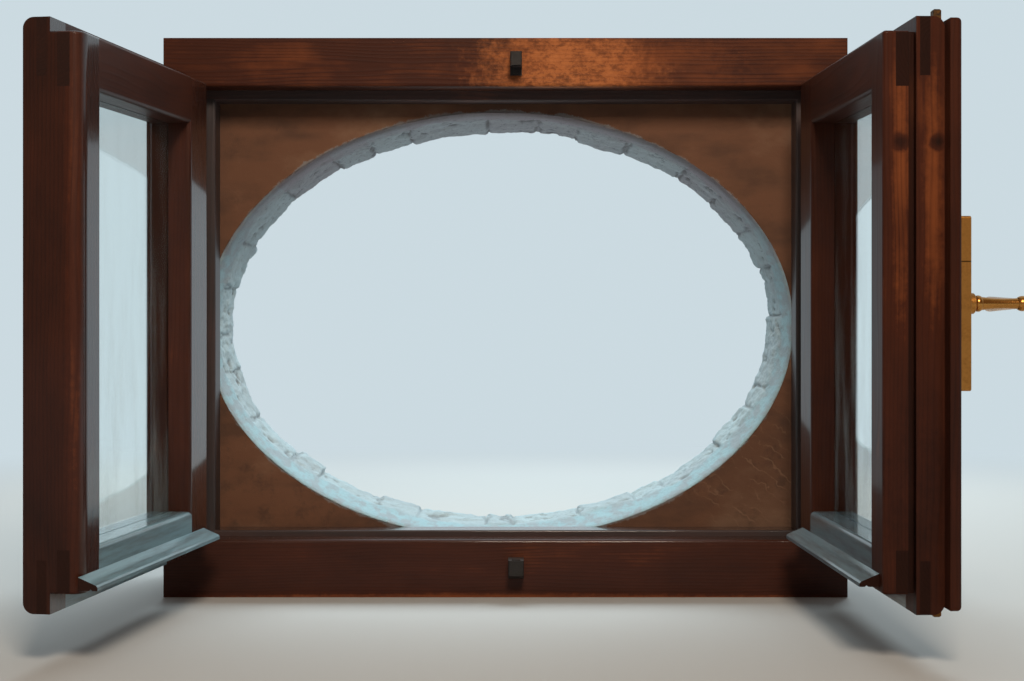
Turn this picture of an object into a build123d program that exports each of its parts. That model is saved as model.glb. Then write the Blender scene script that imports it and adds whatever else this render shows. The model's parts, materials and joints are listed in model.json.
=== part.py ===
from build123d import *
import os
from math import acos, cos, pi, radians, sin, sqrt, tan

os.makedirs("parts", exist_ok=True)

# Two-leaf inward-opening timber casement with an oval masonry opening behind it.
# X runs along the window, Y from the room to the garden, Z up, all in millimetres.
# The origin is on the frame's underside, in the middle of its width and of its timber depth.

# Timber frame
frame_depth = 60.0
rebate_width = 641.4
rebate_height = 475.5
head_face = 51.0
rail_face = 60.0
jamb_face = 38.0
rebate_depth = 31.5
stop_projection = 10.6
rail_stop_projection = 6.0
frame_arris = 3.0
stop_arris = 2.0
frame_tenon_thickness = 14.0
frame_tenon_length = 26.0

# Leaves
flange_thickness = 24.0
body_thickness = 28.0
flange_overlap = 10.5
flange_overlap_bottom = 14.0
leaf_gap = 4.0
leaf_gap_top = 1.5
leaf_gap_bottom = 3.0
meeting_gap = 3.0
leaf_seat_gap = 0.8
hinge_stile_width = 50.0
meeting_stile_width = 40.0
top_rail_width = 46.5
bottom_rail_width = 37.0
room_edge_radius = 9.5
weather_arris = 2.5
sight_arris = 4.0
left_meeting_round = 12.0
right_meeting_round = 3.5
meeting_groove_width = 6.4
meeting_groove_depth = 8.0
body_tongue_thickness = 11.0
body_tongue_setback = 10.8
flange_tongue_thickness = 8.8
flange_tongue_setback = 12.0

# Glazing
glass_thickness = 4.0
glass_setback = 23.0
glazing_rebate = 9.0
glass_edge_clearance = 2.0
bead_depth = 19.0
bead_chamfer = 3.0

# Drip mouldings
drip_projection = 17.0
drip_top_height = 21.0
drip_nose_drop = 6.5
drip_nose_height = 4.5
drip_inset = 11.0
drip_meeting_lap = 8.0
drip_throat = 3.0
drip_throat_reach = 9.4
drip_nose_slope = 1.5

# Screw-in barrel hinges
barrel_diameter = 14.0
barrel_half_length = 26.0
barrel_split = 0.6
barrel_cap = 4.0
hinge_clearance = 0.5
hinge_forward = 9.0
hinge_inset = 82.0
hinge_pin_diameter = 8.0
hinge_pin_length = 19.0
hinge_pin_clearance = 0.05
hinge_stem_diameter = 7.0
frame_stem_length = 32.0
leaf_stem_length = 38.0

# Angles to which the leaves stand open at rest
left_open_angle = 98.3
right_open_angle = 92.3

# Astragal on the right leaf
astragal_width = 40.0
astragal_thickness = 10.5
astragal_top_inset = 4.0
astragal_bottom_inset = 6.0
astragal_round = 5.0

# Cremone bolt on the astragal
bolt_line = 11.0
case_height = 146.0
case_width = 30.0
case_depth = 10.5
case_wall = 1.4
case_end_block = 11.0
case_corner = 2.0
case_bevel = 0.7
case_centre_height = 306.0
collar_diameter = 17.6
collar_length = 6.7
rod_width = 8.0
rod_thickness = 6.8
rod_setback = 1.2
rod_clearance = 0.3
top_bolt_proud = 7.0
bottom_bolt_proud = 3.0
bolt_tip_chamfer = 1.2
case_screw_diameter = 4.0
case_screw_head = 7.0
case_screw_length = 19.0
case_screw_inset = 6.0

# Rack and pinion inside the case
gear_module = 1.5
gear_teeth = 12
gear_pressure_angle = 25.0
gear_addendum_factor = 0.9
gear_root_clearance = 0.3
gear_backlash = 0.24
gear_thickness = 6.0
gear_seat_gap = 0.4
rack_back = 2.4
rack_tail = 22.0
stud_diameter = 6.0
stud_height = 41.0
stud_lug_height = 10.0
slot_clearance = 0.4
quarter_turn = 90.0

# Handle
shank_diameter = 10.0
shank_clearance = 0.06
spindle_side = 6.5
spindle_reach = 6.0
bead_diameter = 14.0
bead_end_diameter = 11.4
bead_length = 6.0
neck_diameter = 8.5
neck_end_diameter = 9.6
neck_length = 48.0
neck_waist = 31.0
neck_seat = 2.6
elbow_diameter = 13.0
lever_length = 88.0
lever_root_diameter = 8.0
lever_end_diameter = 13.5
collar_gap = 0.4

# Keeps on the frame
keep_wall = 1.6
keep_rod_clearance = 0.5
keep_plate_thickness = 2.0
top_keep_plate_start = 1.0
top_keep_plate_height = 21.5
top_keep_loop_height = 14.0
top_keep_loop_gap = 1.5
bottom_keep_width = 16.0
bottom_keep_gap = 1.0
bottom_keep_cup_height = 15.5
bottom_keep_height = 22.0
bottom_keep_socket = 14.6
keep_screw_diameter = 3.0
keep_screw_head = 5.4
keep_screw_head_height = 1.4
keep_screw_length = 16.0
keep_tang_diameter = 6.0
keep_tang_length = 18.0

# Oval opening in the wall panel behind the frame
render_thickness = 14.0
masonry_thickness = 96.0
masonry_left_web = 18.7
masonry_right_web = 32.7
masonry_top_web = 56.5
masonry_bottom_web = 39.0
oval_taper = 9.0
ring_thickness = 16.0
ring_lip = 2.5
ring_front_wave = 0.5
ring_rear_wave = 2.2
outline_points = 48

# Levels of the frame
half_rebate = rebate_width / 2
half_width = half_rebate + jamb_face
frame_height = rail_face + rebate_height + head_face
room_face = -frame_depth / 2
garden_face = frame_depth / 2
stop_face = room_face + rebate_depth
rebate_bottom = rail_face
rebate_top = rail_face + rebate_height

# Levels of a shut leaf, drawn as the left one
flange_back = room_face - leaf_seat_gap
leaf_room_face = flange_back - flange_thickness
leaf_weather_face = flange_back + body_thickness
flange_edge = -(half_rebate + flange_overlap)
body_edge = -(half_rebate - leaf_gap)
meeting_edge = -meeting_gap / 2
flange_bottom = rebate_bottom - flange_overlap_bottom
flange_top = rebate_top + flange_overlap
body_bottom = rebate_bottom + leaf_gap_bottom
body_top = rebate_top - leaf_gap_top
hinge_sight = body_edge + hinge_stile_width
meeting_sight = meeting_edge - meeting_stile_width
top_sight = body_top - top_rail_width
bottom_sight = body_bottom + bottom_rail_width
glass_weather_face = leaf_weather_face - glass_setback
glass_room_face = glass_weather_face - glass_thickness

# Levels of the keeps
loop_low = flange_top + top_bolt_proud + top_keep_loop_gap
loop_high = loop_low + top_keep_loop_height
plate_low = flange_top + top_keep_plate_start
plate_high = plate_low + top_keep_plate_height
keep_screw_height = (plate_low + loop_low) / 2
cup_top = flange_bottom - bottom_bolt_proud - bottom_keep_gap
cup_low = cup_top - bottom_keep_cup_height
keep_low = cup_top - bottom_keep_height
keep_tang_height = (cup_top + cup_low) / 2

# Hinge axes
hinge_x = half_rebate + flange_overlap + barrel_diameter / 2 + hinge_clearance
hinge_y = room_face - hinge_forward
left_axis = Axis((-hinge_x, hinge_y, 0), (0, 0, 1))
right_axis = Axis((hinge_x, hinge_y, 0), (0, 0, 1))
hinge_heights = {"lower": flange_bottom + hinge_inset, "upper": flange_top - hinge_inset}


def save(piece, name):
    """Name a finished piece and write it to its own file."""
    piece.label = name
    export_step(piece, f"parts/{name}.step")


def swing(shape, side):
    """Swing a piece of a shut leaf to the angle at which its leaf rests."""
    if side == "left":
        return shape.rotate(left_axis, -left_open_angle)
    return shape.rotate(right_axis, right_open_angle)


def hang(shape, side):
    """Hang a piece drawn on the shut left leaf on the leaf of the named side."""
    if side == "right":
        shape = shape.mirror(Plane.YZ)
    return swing(shape, side)


def block(x_span, y_span, z_span, mode=Mode.ADD):
    """Add or cut a square-edged block between the given limits."""
    with BuildSketch(Plane.XY.offset(z_span[0])) as footprint:
        with Locations((sum(x_span) / 2, sum(y_span) / 2)):
            Rectangle(x_span[1] - x_span[0], y_span[1] - y_span[0])
    extrude(footprint.sketch, amount=z_span[1] - z_span[0], mode=mode)


def cylinder_along(plane, diameter, length, mode=Mode.ADD):
    """Add or cut a round bar that starts on a plane and follows its normal."""
    with BuildSketch(plane) as bar_end:
        Circle(diameter / 2)
    extrude(bar_end.sketch, amount=length, mode=mode)


def room_plane(x, y, z):
    """A plane facing the room at the given point, with its own Y axis up."""
    return Plane(origin=(x, y, z), x_dir=(1, 0, 0), z_dir=(0, -1, 0))


def frame_rail(section, rounded):
    """A head or bottom rail: a section in Y and Z run over the whole width."""
    with BuildPart() as rail:
        with BuildSketch(Plane.YZ.offset(-half_width)) as profile:
            with BuildLine():
                Polyline(*section, close=True)
            make_face()
            for corner, radius in rounded:
                fillet(profile.vertices().sort_by_distance(corner)[0], radius)
        extrude(amount=2 * half_width)
    return rail


# Frame members
head_section = [
    (room_face, frame_height),
    (garden_face, frame_height),
    (garden_face, rebate_top - stop_projection),
    (stop_face, rebate_top - stop_projection),
    (stop_face, rebate_top),
    (room_face, rebate_top),
]
head_rounded = [
    ((room_face, rebate_top), frame_arris),
    ((stop_face, rebate_top - stop_projection), stop_arris),
]
rail_section = [
    (room_face, 0),
    (garden_face, 0),
    (garden_face, rebate_bottom + rail_stop_projection),
    (stop_face, rebate_bottom + rail_stop_projection),
    (stop_face, rebate_bottom),
    (room_face, rebate_bottom),
]
rail_rounded = [
    ((room_face, rebate_bottom), frame_arris),
    ((stop_face, rebate_bottom + rail_stop_projection), stop_arris),
]
plain_head = frame_rail(head_section, head_rounded)
plain_rail = frame_rail(rail_section, rail_rounded)
tenon_middle = (stop_face + garden_face) / 2
tenon_y = (tenon_middle - frame_tenon_thickness / 2, tenon_middle + frame_tenon_thickness / 2)
tenon_x = (half_rebate + frame_arris, half_width - frame_arris)

with BuildPart() as right_jamb:
    with BuildSketch(Plane.XY.offset(rebate_bottom - frame_arris)) as jamb_section:
        with BuildLine():
            Polyline(
                (half_rebate, room_face),
                (half_width, room_face),
                (half_width, garden_face),
                (half_rebate - stop_projection, garden_face),
                (half_rebate - stop_projection, stop_face),
                (half_rebate, stop_face),
                close=True,
            )
        make_face()
        rebate_corner = (half_rebate, room_face)
        stop_corner = (half_rebate - stop_projection, stop_face)
        fillet(jamb_section.vertices().sort_by_distance(rebate_corner)[0], frame_arris)
        fillet(jamb_section.vertices().sort_by_distance(stop_corner)[0], stop_arris)
    extrude(amount=rebate_height + 2 * frame_arris)
    add(plain_head.part, mode=Mode.SUBTRACT)
    add(plain_rail.part, mode=Mode.SUBTRACT)
    lower_shoulder = rebate_bottom + rail_stop_projection
    upper_shoulder = rebate_top - stop_projection
    block(tenon_x, tenon_y, (rebate_bottom - frame_tenon_length, lower_shoulder))
    block(tenon_x, tenon_y, (upper_shoulder, rebate_top + frame_tenon_length))
    for height in hinge_heights.values():
        stem_height = height - barrel_half_length / 2
        stem_plane = Plane(origin=(hinge_x, room_face, stem_height), z_dir=(0, 1, 0))
        cylinder_along(
            stem_plane, hinge_stem_diameter, frame_stem_length - hinge_forward, Mode.SUBTRACT
        )

with BuildPart() as left_jamb:
    add(right_jamb.part.mirror(Plane.YZ))

with BuildPart() as frame_head:
    add(plain_head.part)
    add(right_jamb.part, mode=Mode.SUBTRACT)
    add(left_jamb.part, mode=Mode.SUBTRACT)
    cylinder_along(
        room_plane(bolt_line, room_face, keep_screw_height),
        keep_screw_diameter,
        keep_plate_thickness - keep_screw_length,
        Mode.SUBTRACT,
    )

with BuildPart() as frame_bottom_rail:
    add(plain_rail.part)
    add(right_jamb.part, mode=Mode.SUBTRACT)
    add(left_jamb.part, mode=Mode.SUBTRACT)
    cylinder_along(
        room_plane(bolt_line, room_face, keep_tang_height),
        keep_tang_diameter,
        -keep_tang_length,
        Mode.SUBTRACT,
    )

save(frame_head.part, "frame_head")
save(frame_bottom_rail.part, "frame_bottom_rail")
save(left_jamb.part, "frame_left_jamb")
save(right_jamb.part, "frame_right_jamb")


def leaf_envelope(meeting_round):
    """The outer form of a shut leaf: the flange in front and the narrower body behind."""
    with BuildPart() as envelope:
        block(
            (flange_edge, meeting_edge), (leaf_room_face, flange_back), (flange_bottom, flange_top)
        )
        room_edges = envelope.edges().group_by(Axis.Y)[0].sort_by(Axis.X)[:-1]
        fillet(room_edges, room_edge_radius)
        block(
            (body_edge, meeting_edge), (flange_back, leaf_weather_face), (body_bottom, body_top)
        )
        meeting_arris = envelope.edges().group_by(Axis.Y)[-1].sort_by(Axis.X)[-1]
        fillet(meeting_arris, meeting_round)
        weather_edges = envelope.edges().group_by(Axis.Y)[-1].sort_by(Axis.X)[:-1]
        fillet(weather_edges, weather_arris)
    return envelope.part


def stile_blank(outer, sight, envelope):
    """A full-height stile with its glazing rebate, trimmed to the leaf's outer form."""
    inward = 1 if sight > outer else -1
    rebate_wall = sight - inward * glazing_rebate
    with BuildPart() as stile:
        with BuildSketch(Plane.XY.offset(flange_bottom)) as section:
            with BuildLine():
                Polyline(
                    (outer, leaf_room_face),
                    (rebate_wall, leaf_room_face),
                    (rebate_wall, glass_weather_face),
                    (sight, glass_weather_face),
                    (sight, leaf_weather_face),
                    (outer, leaf_weather_face),
                    close=True,
                )
            make_face()
            sight_corner = (sight, leaf_weather_face)
            fillet(section.vertices().sort_by_distance(sight_corner)[0], sight_arris)
        extrude(amount=flange_top - flange_bottom)
        add(envelope, mode=Mode.INTERSECT)
    return stile


def rail_blank(outer, sight, envelope):
    """A full-width rail with its glazing rebate, trimmed to the leaf's outer form."""
    inward = 1 if sight > outer else -1
    rebate_wall = sight - inward * glazing_rebate
    with BuildPart() as rail:
        with BuildSketch(Plane.YZ.offset(flange_edge)) as section:
            with BuildLine():
                Polyline(
                    (leaf_room_face, outer),
                    (leaf_room_face, rebate_wall),
                    (glass_weather_face, rebate_wall),
                    (glass_weather_face, sight),
                    (leaf_weather_face, sight),
                    (leaf_weather_face, outer),
                    close=True,
                )
            make_face()
            sight_corner = (leaf_weather_face, sight)
            fillet(section.vertices().sort_by_distance(sight_corner)[0], sight_arris)
        extrude(amount=meeting_edge - flange_edge)
        add(envelope, mode=Mode.INTERSECT)
    return rail


def bridle_tongues(rail):
    """The two tongues of a rail that run right through the stiles at a corner joint."""
    body_tongue_end = leaf_weather_face - body_tongue_setback
    flange_tongue_start = leaf_room_face + flange_tongue_setback
    leaf_length = (flange_edge, meeting_edge)
    leaf_height = (flange_bottom, flange_top)
    with BuildPart() as tongues:
        block(leaf_length, (body_tongue_end - body_tongue_thickness, body_tongue_end), leaf_height)
        block(
            leaf_length,
            (flange_tongue_start, flange_tongue_start + flange_tongue_thickness),
            leaf_height,
        )
        add(rail.part, mode=Mode.INTERSECT)
    return tongues


def glazing_bead(corners, chamfer_side):
    """A mitred bead that holds the pane from the room side, chamfered towards the light."""
    with BuildPart() as bead:
        with BuildSketch(Plane.XZ.offset(-(glass_room_face - bead_depth))):
            with BuildLine():
                Polyline(*corners, close=True)
            make_face()
        extrude(amount=-bead_depth)
        room_edges = bead.edges().group_by(Axis.Y)[0]
        chamfer(room_edges.sort_by(chamfer_side[0])[chamfer_side[1]], bead_chamfer)
    return bead


def cut_leaf_grooves():
    """Cut the bolt groove and the air groove that run up the right leaf's meeting edge."""
    groove_half = rod_width / 2 + rod_clearance
    groove_floor = leaf_room_face + rod_setback + rod_thickness + rod_clearance
    block(
        (-bolt_line - groove_half, -bolt_line + groove_half),
        (leaf_room_face, groove_floor),
        (flange_bottom, flange_top),
        Mode.SUBTRACT,
    )
    block(
        (meeting_edge - meeting_groove_depth, meeting_edge),
        (flange_back, flange_back + meeting_groove_width),
        (flange_bottom, flange_top),
        Mode.SUBTRACT,
    )


def leaf_pieces(side):
    """Make the timber, pane, beads and drip moulding of one leaf."""
    meeting_round = left_meeting_round if side == "left" else right_meeting_round
    envelope = leaf_envelope(meeting_round)
    top_blank = rail_blank(flange_top, top_sight, envelope)
    bottom_blank = rail_blank(flange_bottom, bottom_sight, envelope)
    top_tongues = bridle_tongues(top_blank)
    bottom_tongues = bridle_tongues(bottom_blank)

    with BuildPart() as hinge_stile:
        add(stile_blank(flange_edge, hinge_sight, envelope).part)
        add(top_tongues.part, mode=Mode.SUBTRACT)
        add(bottom_tongues.part, mode=Mode.SUBTRACT)
        for height in hinge_heights.values():
            stem_height = height + barrel_half_length / 2
            stem_plane = Plane(origin=(flange_edge, hinge_y, stem_height), z_dir=(1, 0, 0))
            stem_depth = leaf_stem_length - barrel_diameter / 2 - hinge_clearance
            cylinder_along(stem_plane, hinge_stem_diameter, stem_depth, Mode.SUBTRACT)

    with BuildPart() as meeting_stile:
        add(stile_blank(meeting_edge, meeting_sight, envelope).part)
        add(top_tongues.part, mode=Mode.SUBTRACT)
        add(bottom_tongues.part, mode=Mode.SUBTRACT)
        if side == "right":
            cut_leaf_grooves()

    with BuildPart() as top_rail:
        add(top_blank.part)
        add(hinge_stile.part, mode=Mode.SUBTRACT)
        add(meeting_stile.part, mode=Mode.SUBTRACT)
        if side == "right":
            cut_leaf_grooves()

    with BuildPart() as bottom_rail:
        add(bottom_blank.part)
        add(hinge_stile.part, mode=Mode.SUBTRACT)
        add(meeting_stile.part, mode=Mode.SUBTRACT)
        if side == "right":
            cut_leaf_grooves()

    save(hang(hinge_stile.part, side), f"{side}_hinge_stile")
    save(hang(meeting_stile.part, side), f"{side}_meeting_stile")
    save(hang(top_rail.part, side), f"{side}_top_rail")
    save(hang(bottom_rail.part, side), f"{side}_bottom_rail")

    left = hinge_sight - glazing_rebate
    right = meeting_sight + glazing_rebate
    low = bottom_sight - glazing_rebate
    high = top_sight + glazing_rebate
    beads = {
        "top": ([(left, high), (right, high), (meeting_sight, top_sight), (hinge_sight, top_sight)],
                (Axis.Z, 0)),
        "bottom": ([(left, low), (right, low), (meeting_sight, bottom_sight),
                    (hinge_sight, bottom_sight)], (Axis.Z, -1)),
        "hinge": ([(left, low), (left, high), (hinge_sight, top_sight),
                   (hinge_sight, bottom_sight)], (Axis.X, -1)),
        "meeting": ([(right, low), (right, high), (meeting_sight, top_sight),
                     (meeting_sight, bottom_sight)], (Axis.X, 0)),
    }
    for place, (corners, chamfer_side) in beads.items():
        bead = glazing_bead(corners, chamfer_side)
        save(hang(bead.part, side), f"{side}_{place}_bead")

    with BuildPart() as pane:
        block(
            (left + glass_edge_clearance, right - glass_edge_clearance),
            (glass_room_face, glass_weather_face),
            (low + glass_edge_clearance, high - glass_edge_clearance),
        )
    save(hang(pane.part, side), f"{side}_pane")

    drip_end = drip_meeting_lap if side == "left" else -drip_inset
    drip_top = bottom_sight - drip_top_height
    nose = leaf_weather_face + drip_projection
    nose_top = drip_top - drip_nose_drop
    nose_bottom = nose_top - drip_nose_height
    throat_start = leaf_weather_face + drip_throat_reach
    with BuildPart() as drip:
        with BuildSketch(Plane.YZ.offset(body_edge + drip_inset)) as section:
            with BuildLine():
                Polyline(
                    (leaf_weather_face, drip_top),
                    (nose - drip_nose_slope, nose_top),
                    (nose, nose_top - drip_nose_slope),
                    (nose, nose_bottom),
                    (throat_start + drip_throat, nose_bottom),
                    (throat_start + drip_throat / 2, nose_bottom + drip_throat / 2),
                    (throat_start, nose_bottom),
                    (leaf_weather_face, nose_bottom),
                    close=True,
                )
            make_face()
        extrude(amount=meeting_edge + drip_end - body_edge - drip_inset)
    save(hang(drip.part, side), f"{side}_drip_moulding")


leaf_pieces("left")
leaf_pieces("right")


def hinge_halves(side, place, split_height):
    """A screw-in barrel hinge: a lower half with the pin and an upper half that turns on it."""
    radius = barrel_diameter / 2
    low = split_height - barrel_half_length
    high = split_height + barrel_half_length
    pin_top = split_height + hinge_pin_length
    bore_radius = hinge_pin_diameter / 2 + hinge_pin_clearance
    with BuildPart() as pin_half:
        with BuildSketch(Plane(origin=(-hinge_x, hinge_y, 0), x_dir=(1, 0, 0), z_dir=(0, -1, 0))):
            with BuildLine():
                Polyline(
                    (0, low - barrel_cap),
                    (radius / 2, low - barrel_cap),
                    (radius, low),
                    (radius, split_height - barrel_split / 2),
                    (hinge_pin_diameter / 2, split_height - barrel_split / 2),
                    (hinge_pin_diameter / 2, pin_top),
                    (0, pin_top),
                    close=True,
                )
            make_face()
        revolve(axis=left_axis)
        stem_plane = Plane(
            origin=(-hinge_x, hinge_y, split_height - barrel_half_length / 2), z_dir=(0, 1, 0)
        )
        cylinder_along(stem_plane, hinge_stem_diameter, frame_stem_length)
    with BuildPart() as socket_half:
        with BuildSketch(Plane(origin=(-hinge_x, hinge_y, 0), x_dir=(1, 0, 0), z_dir=(0, -1, 0))):
            with BuildLine():
                Polyline(
                    (bore_radius, split_height + barrel_split / 2),
                    (radius, split_height + barrel_split / 2),
                    (radius, high),
                    (radius / 2, high + barrel_cap),
                    (0, high + barrel_cap),
                    (0, pin_top + barrel_split),
                    (bore_radius, pin_top + barrel_split),
                    close=True,
                )
            make_face()
        revolve(axis=left_axis)
        stem_plane = Plane(
            origin=(-hinge_x + radius - hinge_clearance, hinge_y,
                    split_height + barrel_half_length / 2),
            z_dir=(1, 0, 0),
        )
        cylinder_along(
            stem_plane, hinge_stem_diameter, leaf_stem_length - radius + hinge_clearance
        )
    fixed = pin_half.part
    if side == "right":
        fixed = fixed.mirror(Plane.YZ)
    save(fixed, f"{side}_{place}_hinge_pin_half")
    save(hang(socket_half.part, side), f"{side}_{place}_hinge_socket_half")


for hinge_place, hinge_height in hinge_heights.items():
    hinge_halves("left", hinge_place, hinge_height)
    hinge_halves("right", hinge_place, hinge_height)

# Cremone bolt, drawn on the shut right leaf
astragal_face = leaf_room_face - astragal_thickness
case_face = astragal_face - case_depth
pitch_radius = gear_module * gear_teeth / 2
bolt_throw = pitch_radius * radians(quarter_turn)
gear_back = astragal_face - gear_seat_gap
rod_front = leaf_room_face + rod_setback
rod_back = rod_front + rod_thickness
slot_width = stud_diameter + 2 * slot_clearance
case_axis = Axis((bolt_line, 0, case_centre_height), (0, -1, 0))
screw_height = case_height / 2 - case_screw_inset


with BuildPart() as astragal:
    block(
        (bolt_line + case_width / 2 - astragal_width, bolt_line + case_width / 2),
        (astragal_face, leaf_room_face),
        (flange_bottom + astragal_bottom_inset, flange_top - astragal_top_inset),
    )
    fillet(astragal.edges().group_by(Axis.Y)[0], astragal_round)
    slot_middle = stud_height + bolt_throw / 2
    for direction in (1, -1):
        slot_plane = room_plane(
            bolt_line, astragal_face, case_centre_height + direction * slot_middle
        )
        with BuildSketch(slot_plane):
            SlotCenterToCenter(bolt_throw, slot_width, rotation=90)
        extrude(amount=-astragal_thickness, mode=Mode.SUBTRACT)
        screw_plane = room_plane(
            bolt_line, astragal_face, case_centre_height + direction * screw_height
        )
        cylinder_along(
            screw_plane, case_screw_diameter, case_depth - case_screw_length, Mode.SUBTRACT
        )
    cylinder_along(
        room_plane(bolt_line, astragal_face, case_centre_height),
        spindle_side * sqrt(2) + 2 * slot_clearance,
        -spindle_reach - slot_clearance,
        Mode.SUBTRACT,
    )
save(swing(astragal.part, "right"), "astragal")

with BuildPart() as cremone_case:
    with BuildSketch(room_plane(bolt_line, astragal_face, case_centre_height)):
        RectangleRounded(case_width, case_height, case_corner)
    extrude(amount=case_depth)
    chamfer(cremone_case.edges().group_by(Axis.Y)[0], case_bevel)
    with BuildSketch(room_plane(bolt_line, astragal_face, case_centre_height)):
        Rectangle(case_width - 2 * case_wall, case_height - 2 * case_end_block)
    extrude(amount=case_depth - case_wall, mode=Mode.SUBTRACT)
    cylinder_along(
        room_plane(bolt_line, case_face, case_centre_height), collar_diameter, collar_length
    )
    chamfer(cremone_case.edges().group_by(Axis.Y)[0], case_bevel)
    cylinder_along(
        room_plane(bolt_line, case_face - collar_length, case_centre_height),
        shank_diameter + 2 * shank_clearance,
        -collar_length - case_wall,
        Mode.SUBTRACT,
    )
    for direction in (1, -1):
        screw_plane = room_plane(
            bolt_line, case_face, case_centre_height + direction * screw_height
        )
        with Locations(screw_plane):
            CounterSinkHole(case_screw_diameter / 2, case_screw_head / 2, case_depth, 90)
save(swing(cremone_case.part, "right"), "cremone_case")

with BuildPart() as case_screws:
    sink_depth = (case_screw_head - case_screw_diameter) / 2
    for direction in (1, -1):
        height = case_centre_height + direction * screw_height
        with BuildSketch(Plane(origin=(bolt_line, case_face, height), x_dir=(1, 0, 0))):
            with BuildLine():
                Polyline(
                    (0, 0),
                    (case_screw_head / 2, 0),
                    (case_screw_diameter / 2, sink_depth),
                    (case_screw_diameter / 2, case_screw_length - case_screw_diameter),
                    (0, case_screw_length),
                    close=True,
                )
            make_face()
        revolve(axis=Axis((bolt_line, case_face, height), (0, 1, 0)))
save(swing(case_screws.part, "right"), "case_screws")

# Pinion with involute teeth, and the two racks that it drives
addendum = gear_addendum_factor * gear_module
dedendum = addendum + gear_root_clearance
pressure = radians(gear_pressure_angle)
base_radius = pitch_radius * cos(pressure)
tip_radius = pitch_radius + addendum
root_radius = pitch_radius - dedendum
tooth_width = pi * gear_module / 2 - gear_backlash / 2
flank_spread = tooth_width / 2 / pitch_radius + tan(pressure) - pressure


def flank_point(radius, hand):
    """A point of the involute flank at a radius, on one hand of a tooth that points along X."""
    slope = acos(base_radius / radius)
    turn = hand * (flank_spread - tan(slope) + slope)
    return (radius * cos(turn), radius * sin(turn))


def root_point(hand):
    """The foot of a tooth's flank, just inside the root circle."""
    foot_radius = root_radius - gear_root_clearance
    turn = hand * flank_spread
    return (foot_radius * cos(turn), foot_radius * sin(turn))


flank_radii = (base_radius, (base_radius + tip_radius) / 2, tip_radius)
with BuildSketch() as tooth:
    with BuildLine():
        Line(root_point(-1), flank_point(base_radius, -1))
        ThreePointArc(*[flank_point(radius, -1) for radius in flank_radii])
        Line(flank_point(tip_radius, -1), flank_point(tip_radius, 1))
        ThreePointArc(*[flank_point(radius, 1) for radius in reversed(flank_radii)])
        Line(flank_point(base_radius, 1), root_point(1))
        Line(root_point(1), root_point(-1))
    make_face()

with BuildPart() as pinion:
    with BuildSketch(room_plane(bolt_line, gear_back, case_centre_height)):
        Circle(root_radius)
        with PolarLocations(0, gear_teeth):
            add(tooth.sketch)
        Rectangle(spindle_side, spindle_side, mode=Mode.SUBTRACT)
    extrude(amount=gear_thickness)
save(swing(pinion.part, "right"), "cremone_pinion")


def rack(direction):
    """A rack bar with trapezium teeth, and the stud that carries its rod through the astragal."""
    pitch = pi * gear_module
    side_sign = -direction
    pitch_x = bolt_line + side_sign * pitch_radius
    root_x = pitch_x + side_sign * dedendum
    back_x = root_x + side_sign * rack_back
    tip_x = pitch_x - side_sign * addendum
    half_at_tip = tooth_width / 2 - addendum * tan(pressure)
    half_at_root = tooth_width / 2 + dedendum * tan(pressure)
    lug_low = stud_height - stud_lug_height / 2
    lug_high = stud_height + stud_lug_height / 2
    tooth_count = int((rack_tail + stud_height - stud_lug_height) / pitch)
    first_tooth = 0.5 - int(rack_tail / pitch)
    with BuildPart() as rack_bar:
        with BuildSketch(room_plane(0, gear_back, case_centre_height)):
            with BuildLine():
                Polyline(
                    (root_x, -direction * rack_tail),
                    (back_x, -direction * rack_tail),
                    (back_x, direction * lug_high),
                    (bolt_line - side_sign * stud_diameter / 2, direction * lug_high),
                    (bolt_line - side_sign * stud_diameter / 2, direction * lug_low),
                    (root_x, direction * lug_low),
                    close=True,
                )
            make_face()
            for number in range(tooth_count):
                middle = direction * (first_tooth + number) * pitch
                with BuildLine():
                    Polyline(
                        (root_x, middle - half_at_root),
                        (tip_x, middle - half_at_tip),
                        (tip_x, middle + half_at_tip),
                        (root_x, middle + half_at_root),
                        close=True,
                    )
                make_face()
        extrude(amount=gear_thickness)
        stud_plane = room_plane(
            bolt_line, gear_back, case_centre_height + direction * stud_height
        )
        cylinder_along(stud_plane, stud_diameter, gear_back - rod_back)
    return rack_bar


def bolt_rod(direction, low, high):
    """A flat rod with a chamfered tip and a hole for the stud of its rack."""
    with BuildPart() as rod:
        block(
            (bolt_line - rod_width / 2, bolt_line + rod_width / 2),
            (rod_front, rod_back),
            (low, high),
        )
        tip = rod.faces().sort_by(Axis.Z)[-1 if direction > 0 else 0]
        chamfer(tip.edges(), bolt_tip_chamfer)
        stud_plane = room_plane(
            bolt_line, rod_back, case_centre_height + direction * stud_height
        )
        cylinder_along(stud_plane, stud_diameter, rod_thickness, Mode.SUBTRACT)
    return rod


rod_inner_end = stud_height - stud_lug_height / 2
save(swing(rack(1).part, "right"), "top_rack")
save(swing(rack(-1).part, "right"), "bottom_rack")
top_rod = bolt_rod(1, case_centre_height + rod_inner_end, flange_top + top_bolt_proud)
bottom_rod = bolt_rod(-1, flange_bottom - bottom_bolt_proud, case_centre_height - rod_inner_end)
save(swing(top_rod.part, "right"), "top_rod")
save(swing(bottom_rod.part, "right"), "bottom_rod")

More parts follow.
